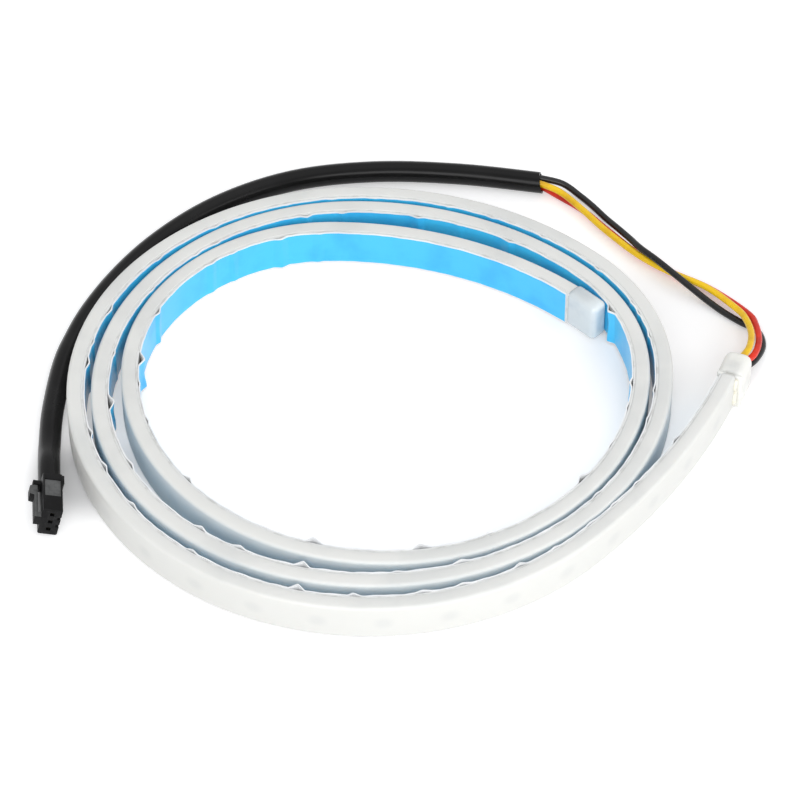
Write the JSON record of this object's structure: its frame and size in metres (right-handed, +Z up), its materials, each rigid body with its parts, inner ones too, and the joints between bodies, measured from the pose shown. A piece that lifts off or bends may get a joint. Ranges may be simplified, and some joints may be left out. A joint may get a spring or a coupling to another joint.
{
  "type": "led trunk light strip",
  "caption": "Flexible milky light strip coiled on its edge, with film-backed tape, moulded end caps and a sleeved three-wire lead ending in a small plug.",
  "frame": {"origin": "middle of the coil's bounding box, at the level of the caps' lower faces that it stands on", "axes": "+X right, +Y to the back, +Z up, with the strip standing on its long edge and the plug's mating face to the front"},
  "size_m": [0.2131, 0.1889, 0.013],
  "materials": {
    "milky_silicone": "translucent satin",
    "board": "satin",
    "red_light": "gloss",
    "amber_light": "gloss",
    "resistor_body": "satin",
    "solder": "bright",
    "foam_tape": "matt",
    "blue_film": "gloss",
    "cap_plastic": "translucent gloss",
    "cap_rubber": "translucent satin",
    "clear_glue": "gloss",
    "yellow_insulation": "satin",
    "red_insulation": "satin",
    "black_insulation": "satin",
    "black_sleeve": "satin",
    "black_nylon": "satin",
    "tinned_brass": "bright"
  },
  "bodies": {
    "root": {"silicone_profile": "milky_silicone", "flex_board": "board", "red_leds": "red_light", "amber_leds": "amber_light", "resistors": "resistor_body", "solder_joints": "solder", "mounting_tape": "foam_tape", "release_film": "blue_film", "end_cap": "cap_plastic", "end_cap_seal": "clear_glue", "lead_cap": "cap_rubber", "lead_cap_glue": "clear_glue", "yellow_wire": "yellow_insulation", "red_wire": "red_insulation", "black_wire": "black_insulation", "cable_sleeve": "black_sleeve", "plug_housing": "black_nylon", "yellow_terminal": "tinned_brass", "red_terminal": "tinned_brass", "black_terminal": "tinned_brass"}
  },
  "joints": []
}
